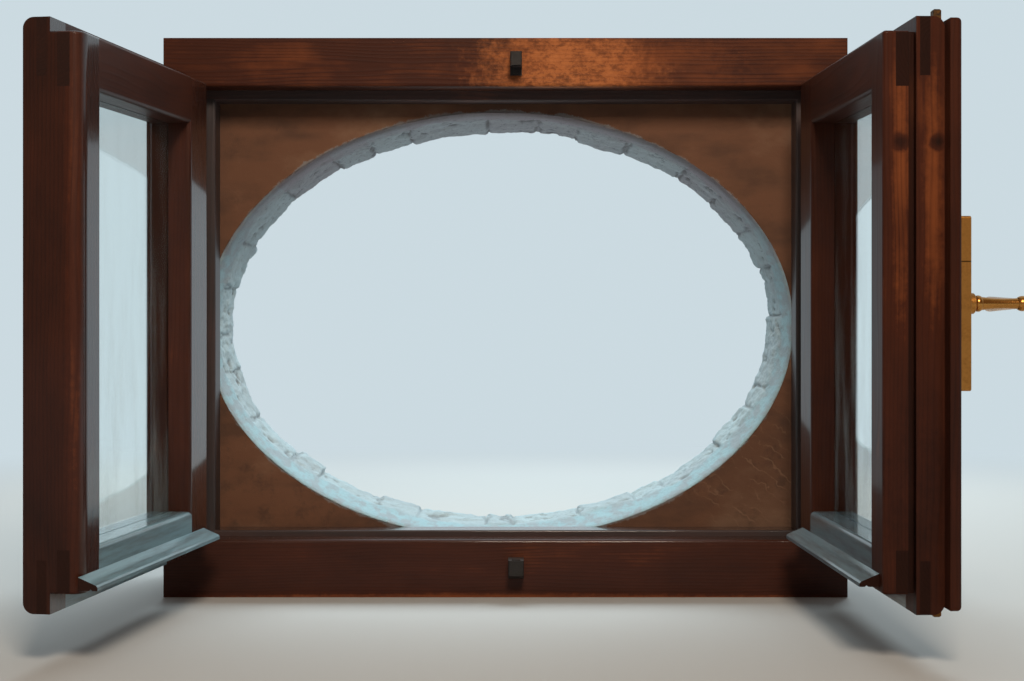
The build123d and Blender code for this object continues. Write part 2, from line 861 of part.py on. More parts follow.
# Handle: a turned neck with its spindle, an elbow and a lever towards the hinge side
with BuildPart() as handle:
    neck_plane = Plane(
        origin=(bolt_line, case_face, case_centre_height), x_dir=(0, 0, 1), z_dir=(1, 0, 0)
    )
    bead_start = collar_length + collar_gap
    bead_end = bead_start + bead_length
    neck_end = neck_length - neck_seat
    shank_back = -case_depth + gear_seat_gap + gear_thickness + gear_seat_gap / 2
    with BuildSketch(neck_plane):
        with BuildLine():
            Polyline(
                (bead_end_diameter / 2, bead_start),
                (shank_diameter / 2, bead_start),
                (shank_diameter / 2, shank_back),
                (0, shank_back),
                (0, neck_end),
                (neck_end_diameter / 2, neck_end),
            )
            ThreePointArc(
                (neck_end_diameter / 2, neck_end),
                (neck_diameter / 2, neck_waist),
                (bead_end_diameter / 2, bead_end),
            )
            ThreePointArc(
                (bead_end_diameter / 2, bead_end),
                (bead_diameter / 2, (bead_start + bead_end) / 2),
                (bead_end_diameter / 2, bead_start),
            )
        make_face()
    revolve(axis=case_axis)
    elbow_y = case_face - neck_length
    with Locations(room_plane(bolt_line, elbow_y, case_centre_height)):
        Sphere(elbow_diameter / 2)
    lever_end_centre = lever_length - lever_end_diameter / 2
    with BuildSketch(Plane(origin=(bolt_line, elbow_y, case_centre_height), z_dir=(0, 0, 1))):
        with BuildLine():
            Line((0, 0), (0, lever_root_diameter / 2))
            Line((0, lever_root_diameter / 2), (lever_end_centre, lever_end_diameter / 2))
            RadiusArc(
                (lever_end_centre, lever_end_diameter / 2),
                (lever_length, 0),
                lever_end_diameter / 2,
            )
            Line((lever_length, 0), (0, 0))
        make_face()
    revolve(axis=Axis((bolt_line, elbow_y, case_centre_height), (1, 0, 0)))
    with BuildSketch(room_plane(bolt_line, astragal_face + spindle_reach, case_centre_height)):
        Rectangle(spindle_side, spindle_side)
    extrude(amount=spindle_reach + case_depth + shank_back)
save(swing(handle.part, "right"), "cremone_handle")

# Keeps that take the bolt tips when the leaves are shut
socket_half_width = rod_width / 2 + keep_rod_clearance
socket_front = rod_front - keep_rod_clearance
socket_back = rod_back + keep_rod_clearance
keep_front = socket_front - keep_wall
keep_half_width = socket_half_width + keep_wall
keep_x = (bolt_line - keep_half_width, bolt_line + keep_half_width)
plate_y = (room_face - keep_plate_thickness, room_face)

with BuildPart() as top_keep:
    block(keep_x, plate_y, (plate_low, plate_high))
    block(keep_x, (keep_front, room_face), (loop_low, loop_high))
    fillet(top_keep.edges().group_by(Axis.Y)[0].filter_by(Axis.Z), keep_wall)
    block(
        (bolt_line - socket_half_width, bolt_line + socket_half_width),
        (socket_front, socket_back),
        (loop_low, loop_high),
        Mode.SUBTRACT,
    )
    cylinder_along(
        room_plane(bolt_line, room_face, keep_screw_height),
        keep_screw_diameter,
        keep_plate_thickness,
        Mode.SUBTRACT,
    )
save(top_keep.part, "top_keep")

cup_x = (bolt_line - bottom_keep_width / 2, bolt_line + bottom_keep_width / 2)
with BuildPart() as bottom_keep:
    with BuildSketch(Plane.YZ.offset(cup_x[0])):
        with BuildLine():
            Polyline(
                (room_face, cup_top),
                (keep_front, cup_top),
                (keep_front, cup_low),
                (plate_y[0], keep_low),
                (room_face, keep_low),
                close=True,
            )
        make_face()
    extrude(amount=bottom_keep_width)
    fillet(bottom_keep.edges().group_by(Axis.Y)[0].filter_by(Axis.Z), keep_wall)
    block(
        (bolt_line - socket_half_width, bolt_line + socket_half_width),
        (socket_front, socket_back),
        (cup_top - bottom_keep_socket, cup_top),
        Mode.SUBTRACT,
    )
    tang_plane = room_plane(bolt_line, room_face, keep_tang_height)
    cylinder_along(tang_plane, keep_tang_diameter, -keep_tang_length)
save(bottom_keep.part, "bottom_keep")

with BuildPart() as top_keep_screw:
    head_plane = room_plane(bolt_line, room_face - keep_plate_thickness, keep_screw_height)
    cylinder_along(head_plane, keep_screw_diameter, -keep_screw_length)
    cylinder_along(head_plane, keep_screw_head, keep_screw_head_height)
save(top_keep_screw.part, "top_keep_screw")


# The oval leaves the named webs of masonry round its ring
oval_half_width = half_width - (masonry_left_web + masonry_right_web) / 2 - ring_thickness
oval_half_height = (frame_height - masonry_top_web - masonry_bottom_web) / 2 - ring_thickness
oval_centre_x = (masonry_left_web - masonry_right_web) / 2
oval_centre_height = (frame_height + masonry_bottom_web - masonry_top_web) / 2


def oval_outline(shrink, wave, phase):
    """Points round the oval: an ellipse drawn in by a shrink and roughened by two slow waves."""
    points = []
    for number in range(outline_points):
        turn = 2 * pi * number / outline_points
        rough = wave * (sin(5 * turn + phase) + 0.7 * sin(11 * turn + 2 * phase))
        half_width_here = oval_half_width - shrink + rough
        half_height_here = oval_half_height - shrink + rough
        points.append((half_width_here * cos(turn), half_height_here * sin(turn)))
    return points


# Wall panel: a brown render coat, the masonry behind it and the stone ring of the oval
render_back = garden_face + render_thickness
ring_depth = render_thickness + masonry_thickness


def wall_layer(front, thickness, seat):
    """A layer of the wall panel, as large as the frame, with the ring's seat cut through it."""
    with BuildPart() as layer:
        with BuildSketch(room_plane(0, front, frame_height / 2)):
            Rectangle(2 * half_width, frame_height)
            with Locations((oval_centre_x, oval_centre_height - frame_height / 2)):
                Ellipse(oval_half_width + seat, oval_half_height + seat, mode=Mode.SUBTRACT)
        extrude(amount=-thickness)
    return layer


render_coat = wall_layer(garden_face, render_thickness, ring_lip)
save(render_coat.part, "render_coat")
masonry_panel = wall_layer(render_back, masonry_thickness, ring_thickness)
save(masonry_panel.part, "masonry_panel")

with BuildPart() as stone_ring:
    with BuildSketch(room_plane(oval_centre_x, garden_face, oval_centre_height)):
        Ellipse(oval_half_width + ring_lip, oval_half_height + ring_lip)
    extrude(amount=-render_thickness)
    with BuildSketch(room_plane(oval_centre_x, render_back, oval_centre_height)):
        Ellipse(oval_half_width + ring_thickness, oval_half_height + ring_thickness)
    extrude(amount=-masonry_thickness)
    for step, wave, shrink in ((0, ring_front_wave, 0), (1, ring_rear_wave, oval_taper)):
        with BuildSketch(room_plane(oval_centre_x, garden_face + step * ring_depth,
                                    oval_centre_height)):
            with BuildLine():
                Spline(*oval_outline(shrink, wave, 1.0), periodic=True)
            make_face()
    loft(mode=Mode.SUBTRACT)
save(stone_ring.part, "stone_ring")

print("bolt throw in metres:", bolt_throw / 1000)
print("rack ratio in metres per radian:", pitch_radius / 1000)
print("hinge axes:", hinge_x, hinge_y)
print("handle axis point:", bolt_line, case_face, case_centre_height)
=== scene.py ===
"""Looks of a small stained casement window with its two leaves open before an oval stone opening.

Every place is in metres: X runs to the right as seen from the room, Y from the room outdoors, Z up.
"""

import json
from collections import namedtuple
from functools import cached_property
from math import pi, radians

import bpy
import numpy as np
from bpy.props import FloatProperty, FloatVectorProperty, IntProperty, PointerProperty
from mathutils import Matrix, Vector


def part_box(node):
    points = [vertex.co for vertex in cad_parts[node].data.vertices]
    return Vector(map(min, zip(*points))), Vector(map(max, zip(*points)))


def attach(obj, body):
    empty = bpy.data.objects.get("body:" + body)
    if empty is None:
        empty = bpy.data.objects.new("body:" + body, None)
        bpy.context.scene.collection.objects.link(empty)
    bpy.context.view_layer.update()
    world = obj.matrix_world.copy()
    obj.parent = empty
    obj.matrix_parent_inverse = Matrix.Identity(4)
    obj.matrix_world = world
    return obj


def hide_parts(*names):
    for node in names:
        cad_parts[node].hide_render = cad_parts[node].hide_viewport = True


bl_info = {
    "name": "Casement window looks",
    "version": (1, 0, 0),
    "blender": (4, 5, 0),
    "location": "3D View > Sidebar > Casement",
    "description": "Stained timber, panes, metalwork and the stone reveal of a casement window",
    "category": "Object",
}

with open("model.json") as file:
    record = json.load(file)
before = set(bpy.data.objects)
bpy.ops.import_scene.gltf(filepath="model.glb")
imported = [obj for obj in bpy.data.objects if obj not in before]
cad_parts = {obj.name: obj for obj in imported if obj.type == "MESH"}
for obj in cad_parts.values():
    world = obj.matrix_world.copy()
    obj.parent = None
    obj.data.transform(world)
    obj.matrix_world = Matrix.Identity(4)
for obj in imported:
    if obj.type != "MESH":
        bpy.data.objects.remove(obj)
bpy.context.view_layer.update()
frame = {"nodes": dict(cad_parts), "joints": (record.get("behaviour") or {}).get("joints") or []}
nodes = frame["nodes"]
joints = {joint["name"]: joint for joint in frame["joints"]}

# The angle, about the upward axis, by which each leaf is turned from where it shuts
LEAF_TURN = {
    "left": radians(joints["left_leaf_hinge"]["range_deg"][0]),
    "right": -radians(joints["right_leaf_hinge"]["range_deg"][0]),
}

# Turns about Y of a board's grain
LEVEL, UPRIGHT = 0, -pi / 2

# A place on the timber, with its half sizes and how far it is lighter or darker than the rest
Patch = namedtuple("Patch", "spot size change")

# A groove painted dark, as shade: its reach from the hinge axis, and the depths it lies between
Groove = namedtuple("Groove", "axis reach shallow deep")

# How a board differs from plain stained softwood. A shift of tone lightens all of it, and darkens
# it below 0. Gloss is the shine of every face, and sheen is more varnish on the faces that look
# outdoors or up, where dust also lies, in a cyan that is partly a painted sky reflection. The glint
# patch is a painted pool of the room lamp's light with painted glints, broken up finely. Behind the
# rebate, a place along Y, the stain is darker as painted shade, and greyed with the dust colour as
# dust and a painted sky reflection.
TimberLook = namedtuple(
    "TimberLook", "wear patches groove gloss sheen dust rubbed rebate",
    defaults=(0.0, (), None, 1.0, 0.2, 0.0, None, None),
)


def colour(name, description, value):
    """A colour that a user may change."""
    return FloatVectorProperty(
        name=name, description=description, default=value, subtype="COLOR", size=3, min=0, max=1
    )


class TimberSettings(bpy.types.PropertyGroup):
    deep_stain: colour("Deep stain", "Stain where it lies thickest", (0.0125, 0.0052, 0.0038))
    warm_stain: colour("Warm stain", "Stain over most of the timber", (0.056, 0.0145, 0.0068))
    light_stain: colour("Light stain", "Stain worn thin over early wood", (0.3, 0.082, 0.023))
    # Painted glints of the room lamp on the head take this colour
    glint_stain: colour("Worn stain", "Wood rubbed nearly bare", (0.75, 0.27, 0.085))
    # Its cyan is also a painted sky reflection, on faces open to the weather and behind the rebate
    dust: colour("Dust", "Dust and bloom on faces open to the weather", (0.27, 0.47, 0.55))
    # Painted shade in the right leaf's air groove
    groove_shade: colour("Groove dirt", "Dirt in the air groove", (0.006, 0.0035, 0.003))
    ring_spacing: FloatProperty(
        name="Ring spacing", description="Width of one year's growth in the timber",
        default=0.0034, min=0.001, max=0.01, unit="LENGTH",
    )
    varnish: FloatProperty(
        name="Varnish", description="How much of a varnish coat lies over the stain",
        default=0.12, min=0, max=1, subtype="FACTOR",
    )


class StoneSettings(bpy.types.PropertyGroup):
    render_brown: colour("Render", "Brown render round the oval", (0.15, 0.068, 0.038))
    # Also painted shade near the timber frame's edge
    render_dark: colour("Render stains", "Damp and soot on the render", (0.055, 0.032, 0.023))
    render_pale: colour("Render dust", "Rubbed places on the render", (0.27, 0.16, 0.1))
    mortar: colour("Mortar", "Smooth mortar at the oval's room edge", (0.37, 0.53, 0.58))
    stone: colour("Stone", "Hewn stone at the oval's outdoor edge", (0.46, 0.57, 0.61))
    stone_shade: colour("Stone pits", "Pits and joints of the hewn stone", (0.14, 0.13, 0.14))
    grey: colour("Grey patches", "Grey patches in the mortar and stone", (0.36, 0.39, 0.42))
    # Painted shade along the reveal's room edge, where it meets the render
    edge_shade: colour("Soot", "Brown edge where the reveal meets the render", (0.1, 0.07, 0.065))
    stone_dim: colour("Shaded stone", "Stone of the oval's upper half", (0.31, 0.28, 0.31))
    smear: colour("Smears", "Mortar smeared over the render by the oval", (0.2, 0.21, 0.22))
    back_wall: colour("Back of the panel", "Plain outdoor side of the panel", (0.42, 0.37, 0.31))
    block_length: FloatProperty(
        name="Block length", description="Length along the oval of one hewn stone",
        default=0.056, min=0.02, max=0.2, unit="LENGTH",
    )
    block_step: FloatProperty(
        name="Block step", description="How far one hewn stone stands before the next",
        default=0.0023, min=0, max=0.01, unit="LENGTH",
    )
    joint_depth: FloatProperty(
        name="Joint depth", description="Depth of the joints between the hewn stones",
        default=0.0017, min=0, max=0.01, unit="LENGTH",
    )
    turns: IntProperty(
        name="Turns", description="Steps of the reveal's mesh round the oval",
        default=1080, min=64, max=2000,
    )


class MetalSettings(bpy.types.PropertyGroup):
    brass: colour("Brass", "Handled brass", (0.5, 0.22, 0.052))
    brass_dull: colour("Dull brass", "Tarnish in the brass", (0.19, 0.085, 0.022))
    # A thin dark line at the seam of the bolt's case
    seam: colour("Seam", "Dirt in the seam of the bolt's case", (0.03, 0.015, 0.006))
    steel: colour("Steel", "Racks and pinion inside the case", (0.42, 0.41, 0.4))
    iron: colour("Iron", "Blackened iron of the keeps", (0.024, 0.021, 0.02))
    iron_bare: colour("Bare iron", "Iron rubbed bright by the bolts", (0.2, 0.2, 0.2))
    rust: colour("Rust", "Rust under the blacking of the keeps", (0.06, 0.022, 0.01))


class PaneSettings(bpy.types.PropertyGroup):
    tint: colour("Tint", "Tint of the glass", (0.88, 0.95, 0.94))
    dust: colour("Dust", "Thin dust on the glass", (0.7, 0.78, 0.78))


class StageSettings(bpy.types.PropertyGroup):
    floor: colour("Floor", "Pale floor", (0.5, 0.49, 0.48))
    far: colour("Backdrop", "What shows behind the window", (0.6, 0.7, 0.75))
    daylight_shade: colour("Daylight colour", "Light from outdoors", (0.78, 0.94, 1.0))
    lamp_shade: colour("Lamp colour", "Light from the room's lamp", (1.0, 0.86, 0.7))
    sky_glow: colour("Sky glow", "Even light from the outdoor side", (0.82, 0.95, 1.0))
    room_glow: colour("Room glow", "Even light from the room side", (0.42, 0.31, 0.24))
    daylight: FloatProperty(
        name="Daylight", description="Soft light from behind the window",
        default=68, min=0, max=500, subtype="POWER", unit="POWER",
    )
    lamp: FloatProperty(
        name="Room lamp", description="Warm light from above the camera",
        default=34, min=0, max=500, subtype="POWER", unit="POWER",
    )
    fill: FloatProperty(
        name="Fill", description="Strength of the even light from all round",
        default=0.4, min=0, max=2,
    )
    camera_distance: FloatProperty(
        name="Camera distance", description="From the camera to the middle of the timber frame",
        default=1.723, min=0.5, max=10, unit="LENGTH",
    )
    camera_height: FloatProperty(
        name="Camera height", description="Height of the camera above the floor",
        default=0.2981, min=0, max=3, unit="LENGTH",
    )
    lens: FloatProperty(
        name="Lens", description="Focal length of the camera", default=56.76, min=10, max=200,
        subtype="DISTANCE_CAMERA",
    )


class Wire:
    """An output of a shader node. Sums, products and powers of wires add Math nodes."""

    def __init__(self, finish, socket):
        self.finish = finish
        self.socket = socket

    def _math(self, operation, first, second):
        return self.finish.node("Math", {"operation": operation}, {0: first, 1: second})

    def __add__(self, other):
        return self._math("ADD", self, other)

    def __sub__(self, other):
        return self._math("SUBTRACT", self, other)

    def __mul__(self, other):
        return self._math("MULTIPLY", self, other)

    def __truediv__(self, other):
        return self._math("DIVIDE", self, other)

    def __pow__(self, other):
        return self._math("POWER", self, other)

    def __rsub__(self, other):
        return self._math("SUBTRACT", other, self)

    __radd__ = __add__
    __rmul__ = __mul__


class Finish:
    """A node tree that is filled by one method, with short names for what this window needs."""

    def __init__(self, tree):
        self.tree = tree
        tree.nodes.clear()

    def node(self, kind, settings=None, sockets=None, out=0):
        """Add a shader node. Settings come first, then the values or wires of its sockets."""
        made = self.tree.nodes.new("ShaderNode" + kind)
        for name, value in (settings or {}).items():
            if name == "stops":
                ramp = made.color_ramp.elements
                while len(ramp) < len(value):
                    ramp.new(0.5)
                for stop, (position, shade) in zip(ramp, value):
                    stop.position = position
                    stop.color = (*shade, 1)
            else:
                setattr(made, name, value)
        for name, value in (sockets or {}).items():
            socket = made.inputs[name]
            if isinstance(value, Wire):
                self.tree.links.new(value.socket, socket)
            elif socket.type == "RGBA":
                socket.default_value = (*value, 1)
            else:
                socket.default_value = value
        return Wire(self, made.outputs[out]) if made.outputs else None

    def place(self, output="Object"):
        """Where on the piece a point lies, or another of the coordinates by its name."""
        return self.node("TexCoord", out=output)

    def ray(self, kind):
        """1 for rays of a kind, 0 for the others."""
        return self.node("LightPath", out=kind)

    def noise(self, vector, scale=1.0, detail=3.0, rough=0.5):
        """Noise from 0 to 1, with a scale in waves per unit of the vector."""
        return self.node(
            "TexNoise", {}, {"Vector": vector, "Scale": scale, "Detail": detail, "Roughness": rough}
        )

    def step(self, value, low, high):
        """Rise smoothly from 0 where the value is low to 1 where it is high."""
        return self.node(
            "MapRange", {"interpolation_type": "SMOOTHSTEP"},
            {"Value": value, "From Min": low, "From Max": high},
        )

    def vector(self, operation, first, second=(0, 0, 0)):
        """A Vector Math node, with its number where the operation gives one."""
        number = operation in ("LENGTH", "DOT_PRODUCT")
        return self.node("VectorMath", {"operation": operation}, {0: first, 1: second},
                         out="Value" if number else 0)

    def stretch(self, vector, scale):
        """A vector times a number for each axis."""
        return self.vector("MULTIPLY", vector, scale)

    def away(self, vector, spot, scale):
        """The distance from a spot, with each axis times its own number."""
        return self.vector("LENGTH", self.stretch(self.vector("SUBTRACT", vector, spot), scale))

    def axis(self, vector, letter):
        """One of the three numbers of a vector."""
        return self.node("SeparateXYZ", {}, {0: vector}, out=letter)

    def larger(self, first, second):
        return self.node("Math", {"operation": "MAXIMUM"}, {0: first, 1: second})

    def mix(self, factor, first, second):
        """The first colour where the factor is 0, the second where it is 1."""
        return self.node("Mix", {"data_type": "RGBA"}, {0: factor, 6: first, 7: second}, out=2)

    def bump(self, height, distance):
        """A normal bent by a height from 0 to 1 that stands for a distance in metres."""
        return self.node("Bump", {}, {"Height": height, "Distance": distance})

    def surface(self, constants, varying):
        """End the tree with a Principled shader: plain values, and sockets that vary."""
        self.node("OutputMaterial", {}, {
            "Surface": self.node("BsdfPrincipled", {}, {**constants, **varying})
        })


def new_finish(name):
    """A new material with an empty tree, as the material and its finish."""
    material = bpy.data.materials.new(name)
    material.use_nodes = True
    return material, Finish(material.node_tree)


def dress(piece, material):
    """Give a piece of the solid model its material."""
    nodes[piece].data.materials.clear()
    nodes[piece].data.materials.append(material)


class Board:
    """The patterns of one board, as wires that its stain and varnish are mixed from.

    The board's own X runs along its grain. Growth rings are shells round a pith beside the board:
    the phase is the distance from the pith over the ring spacing, bent by slow noise.
    """

    # Waves per metre along and across the grain
    slow_waves = (3.0, 16.0, 16.0)
    cloud_waves = (9.0, 22.0, 22.0)
    fibre_waves = (16.0, 420.0, 420.0)
    pore_waves = (60.0, 1500.0, 1500.0)
    glint_waves = (90.0, 150.0, 150.0)
    streak_waves = (10.0, 130.0, 130.0)

    # How far the pith lies below the board and to either side, and how the rings are drawn
    pith_below = (0.02, 0.05)
    pith_beside = 0.03
    ring_bend = 7.0
    late_sharpness = 3.0

    def __init__(self, finish, piece, turn, lie, seed):
        chance = np.random.default_rng(seed)
        low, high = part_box(piece)
        self.finish, self.turn = finish, turn
        self.place, normal = finish.place(), finish.place("Normal")
        self.own = finish.node(
            "Mapping", {"vector_type": "TEXTURE"},
            {"Vector": self.place, "Location": (low + high) / 2, "Rotation": (0, lie, turn)},
        )
        self.cloud = self.noise(self.cloud_waves, detail=5, rough=0.55)
        self.fibre = self.noise(self.fibre_waves)
        self.pores = self.noise(self.pore_waves, detail=1)

        pith = (0, -chance.uniform(*self.pith_below),
                chance.uniform(-self.pith_beside, self.pith_beside))
        slow = self.noise(self.slow_waves, detail=2)
        phase = (finish.away(self.own, pith, (0, 1, 1))
                 / bpy.context.scene.casement_timber.ring_spacing + slow * self.ring_bend)
        ring = finish.node("Math", {"operation": "SINE"}, {0: phase * (2 * pi)}) * 0.5 + 0.5
        self.late = ring ** self.late_sharpness

        grain = (np.cos(turn) * np.cos(lie), np.sin(turn) * np.cos(lie), -np.sin(lie))
        facing = finish.vector("DOT_PRODUCT", normal, grain)
        self.end = finish.step(facing * facing, 0.6, 0.9)
        outwards = finish.vector("DOT_PRODUCT", normal, (-np.sin(turn), np.cos(turn), 0))
        upwards = finish.step(finish.axis(normal, "Z"), 0.2, 0.7)
        self.weathered = finish.larger(finish.step(outwards, 0.6, 0.95), upwards)

    def noise(self, waves, detail=3, rough=0.5):
        """Noise with its own number of waves along each of the board's directions."""
        return self.finish.noise(self.finish.stretch(self.own, waves), detail=detail, rough=rough)

    @cached_property
    def smudge(self):
        return self.finish.noise(self.place, scale=150.0, detail=4, rough=0.6)

    def patch(self, spot, size):
        """1 at a spot and 0 from its size outwards, with a cloudy edge."""
        away = self.finish.away(self.place, spot, tuple(1 / side for side in size))
        ragged = away + (self.cloud + self.smudge - 1.0) * 0.7
        return 1 - self.finish.step(ragged, 0.2, 1.0)

    def inside(self, groove):
        """1 in a groove, between its depths and past its reach from the hinge axis."""
        step = self.finish.step
        leaf = self.finish.node(
            "Mapping", {"vector_type": "TEXTURE"},
            {"Vector": self.place, "Location": groove.axis, "Rotation": (0, 0, self.turn)},
        )
        depth = self.finish.axis(leaf, "Y")
        return (step(depth, groove.shallow - 0.0004, groove.shallow + 0.0002)
                * (1 - step(depth, groove.deep - 0.0002, groove.deep + 0.0008))
                * step(self.finish.axis(leaf, "X") * -1.0, groove.reach - 0.0005, groove.reach))


def timber(piece, turn, lie, seed, look):
    """Stained and varnished softwood for one piece.

    The tone adds up what lightens or darkens the stain, and picks its colour from a ramp.
    """
    settings = bpy.context.scene.casement_timber
    material, finish = new_finish("timber_" + piece)
    board = Board(finish, piece, turn, lie, seed)

    tone = board.cloud * 0.75 + board.fibre * 0.16 - board.late * 0.05 + look.wear
    # Behind the rebate the stain is darker: painted shade in the frame's recess
    if look.rebate is not None:
        behind = finish.step(finish.axis(board.place, "Y"), look.rebate - 0.004, look.rebate)
        tone = tone - behind * 0.06
    for patch in look.patches:
        tone = tone + board.patch(patch.spot, patch.size) * patch.change
    # A painted pool of the room lamp's light on the head, broken into painted glints by fine grains
    if look.rubbed:
        grains = finish.step(board.noise(board.glint_waves, detail=6, rough=0.78), 0.36, 0.66)
        rubbed = board.patch(look.rubbed.spot, look.rubbed.size) * (grains * 0.85 + 0.25)
        tone = tone + rubbed * look.rubbed.change
    stain = finish.node(
        "ValToRGB",
        {"stops": [(0.0, settings.deep_stain), (0.5, settings.warm_stain),
                   (1.0, settings.light_stain)]},
        {"Fac": tone},
    )
    # The glints take a bright orange: painted highlight of the room lamp
    if look.rubbed:
        stain = finish.mix(rubbed * 0.36, stain, settings.glint_stain)
    stain = finish.mix(board.late * 0.07, stain, settings.deep_stain)
    stain = finish.mix(board.end * 0.75, stain, settings.deep_stain)
    # Behind the rebate the dust colour greys the stain: dust, and a painted reflection of the sky
    if look.rebate is not None:
        stain = finish.mix(behind * 0.06, stain, settings.dust)
    # Painted shade in the right leaf's air groove
    if look.groove:
        stain = finish.mix(board.inside(look.groove) * 0.6, stain, settings.groove_shade)
    # Dust and bloom on faces that look outdoors or up, in a cyan that is partly a painted sky
    # reflection
    if look.dust:
        streaks = finish.step(board.noise(board.streak_waves, detail=5, rough=0.65), 0.26, 0.66)
        stain = finish.mix(board.weathered * (streaks * 0.5 + 0.5) * look.dust, stain,
                           settings.dust)

    height = board.fibre * 0.3 + board.late * 0.25 + board.pores * 0.15 + board.cloud * 0.4
    varnish = settings.varnish * min(look.gloss, 1) * (1 - board.end * 0.7)
    finish.surface(
        {"Coat Roughness": 0.1, "Specular IOR Level": 0.2 * look.gloss},
        {"Base Color": stain,
         "Roughness": 0.45 - 0.07 * look.gloss + board.cloud * 0.18 + board.end * 0.2,
         "Normal": finish.bump(height, 0.0003),
         "Coat Weight": varnish + board.weathered * look.sheen},
    )
    dress(piece, material)


class CASEMENT_OT_timber_frame(bpy.types.Operator):
    """Stain the head, bottom rail and jambs of the frame"""

    bl_idname = "casement.timber_frame"
    bl_label = "Timber frame"

    # How far behind the room face of the frame its rebate starts
    rebate_depth = 0.0315

    # Lighter places on the head, painted light of the room lamp, with its painted glints beside the
    # keep, and lighter places on the bottom rail
    head_lamp_light = (
        Patch(spot=(-0.16, -0.03, 0.555), size=(0.2, 0.02, 0.05), change=0.06),
        Patch(spot=(0.17, -0.03, 0.55), size=(0.12, 0.02, 0.05), change=0.16),
    )
    head_lamp_glints = Patch(spot=(0.063, -0.03, 0.557), size=(0.12, 0.02, 0.06), change=0.7)
    rail_patches = (
        Patch(spot=(-0.02, -0.03, 0.04), size=(0.3, 0.2, 0.1), change=0.08),
        Patch(spot=(0.0, -0.03, 0.0), size=(0.6, 0.03, 0.006), change=0.3),
    )

    def execute(self, context):
        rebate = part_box("frame_head")[0].y + self.rebate_depth
        head = TimberLook(wear=0.04, patches=self.head_lamp_light, gloss=0.5,
                          rubbed=self.head_lamp_glints, rebate=rebate)
        rail = TimberLook(wear=-0.08, patches=self.rail_patches, gloss=0.8, sheen=1.0,
                          rebate=rebate)
        jamb = TimberLook(wear=-0.12, sheen=0.5, rebate=rebate)
        timber("frame_head", 0, LEVEL, 11, head)
        timber("frame_bottom_rail", 0, LEVEL, 12, rail)
        timber("frame_left_jamb", 0, UPRIGHT, 13, jamb)
        timber("frame_right_jamb", 0, UPRIGHT, 14, jamb)
        return {"FINISHED"}


class CASEMENT_OT_leaf_timber(bpy.types.Operator):
    """Stain the stiles, rails, beads and drip mouldings of both leaves and the astragal"""

    bl_idname = "casement.leaf_timber"
    bl_label = "Leaf timber"

    upright_members = ("hinge_stile", "meeting_stile", "hinge_bead", "meeting_bead")
    level_members = ("top_rail", "bottom_rail", "top_bead", "bottom_bead", "drip_moulding")

    # The air groove of the right leaf
    groove_reach = 0.3292
    groove_depths = (0.0082, 0.0146)

    # The near edge of each leaf's meeting stile: an orange corner on the left, painted warm light
    # of the room, and on the right two knots, two orange runs high up, painted light of the room
    # lamp, and a dark foot
    near_edge = {
        "left": (
            Patch(spot=(-0.3577, -0.3768, 0.36), size=(0.014, 0.01, 0.5), change=0.28),
        ),
        "right": (
            Patch(spot=(0.331, -0.376, 0.441), size=(0.009, 0.03, 0.011), change=-0.55),
            Patch(spot=(0.362, -0.376, 0.441), size=(0.009, 0.03, 0.011), change=-0.55),
            Patch(spot=(0.331, -0.376, 0.4), size=(0.012, 0.03, 0.17), change=0.24),
            Patch(spot=(0.358, -0.376, 0.4), size=(0.012, 0.03, 0.17), change=0.22),
            Patch(spot=(0.345, -0.376, 0.0), size=(0.1, 0.03, 0.26), change=-0.2),
        ),
    }

    def looks(self, side):
        """The look of most of a leaf's members, and those of the members that differ."""
        if side == "left":
            plain = TimberLook(wear=-0.1, gloss=0.7, sheen=1.0)
            # The left meeting stile's darker tone is painted shade: its near edge turns away from
            # the room lamp
            meeting_tone, hinge_sheen, dust = -0.22, 1.0, 0.7
        else:
            hinge = joints["right_leaf_hinge"]["pos_m"]
            groove = Groove((hinge[0], hinge[1], 0), self.groove_reach, *self.groove_depths)
            plain = TimberLook(wear=-0.1, groove=groove, gloss=0.35, sheen=0.12)
            meeting_tone, hinge_sheen, dust = -0.02, 0.35, 0.42
        low = plain._replace(sheen=0.95, dust=dust)
        return plain, {
            "hinge_stile": plain._replace(sheen=hinge_sheen),
            "meeting_stile": plain._replace(wear=meeting_tone, patches=self.near_edge[side]),
            "top_rail": plain._replace(sheen=0.12),
            "bottom_rail": low,
            "bottom_bead": low,
            "drip_moulding": low,
        }

    def execute(self, context):
        first_seeds = {"left": 30, "right": 50}
        for side, turn in LEAF_TURN.items():
            plain, special = self.looks(side)
            for number, member in enumerate(self.upright_members + self.level_members):
                lie = UPRIGHT if member in self.upright_members else LEVEL
                timber(f"{side}_{member}", turn, lie, first_seeds[side] + number,
                       special.get(member, plain))
        timber("astragal", LEAF_TURN["right"], UPRIGHT, 71, TimberLook(wear=-0.14, gloss=0.4))
        return {"FINISHED"}


class CASEMENT_OT_panes(bpy.types.Operator):
    """Glaze both leaves"""

    bl_idname = "casement.panes"
    bl_label = "Panes"

    # Waves per metre of the glass's unevenness and of its film of dust, which runs downwards, and
    # the heights over which that film thins out
    sway_waves = (6.0, 6.0, 4.0)
    film_waves = (38.0, 38.0, 7.0)
    film_heights = (0.12, 0.42)

    def execute(self, context):
        settings = context.scene.casement_pane
        material, finish = new_finish("pane_glass")
        place = finish.place()
        sway = finish.noise(finish.stretch(place, self.sway_waves), detail=1)
        film = finish.noise(finish.stretch(place, self.film_waves), detail=5, rough=0.6)
        low = 1 - finish.step(finish.axis(place, "Z"), *self.film_heights)
        glass = finish.node("BsdfPrincipled", {}, {
            "Base Color": settings.tint, "Roughness": 0.0, "IOR": 1.5, "Transmission Weight": 1.0,
            "Normal": finish.bump(sway, 0.0006),
        })
        dust = finish.node("BsdfDiffuse", {}, {"Color": settings.dust})
        finish.node("OutputMaterial", {}, {"Surface": finish.node("MixShader", {}, {
            0: finish.step(film, 0.4, 0.75) * (0.04 + low * 0.14), 1: glass, 2: dust,
        })})
        for side in LEAF_TURN:
            dress(f"{side}_pane", material)
        return {"FINISHED"}


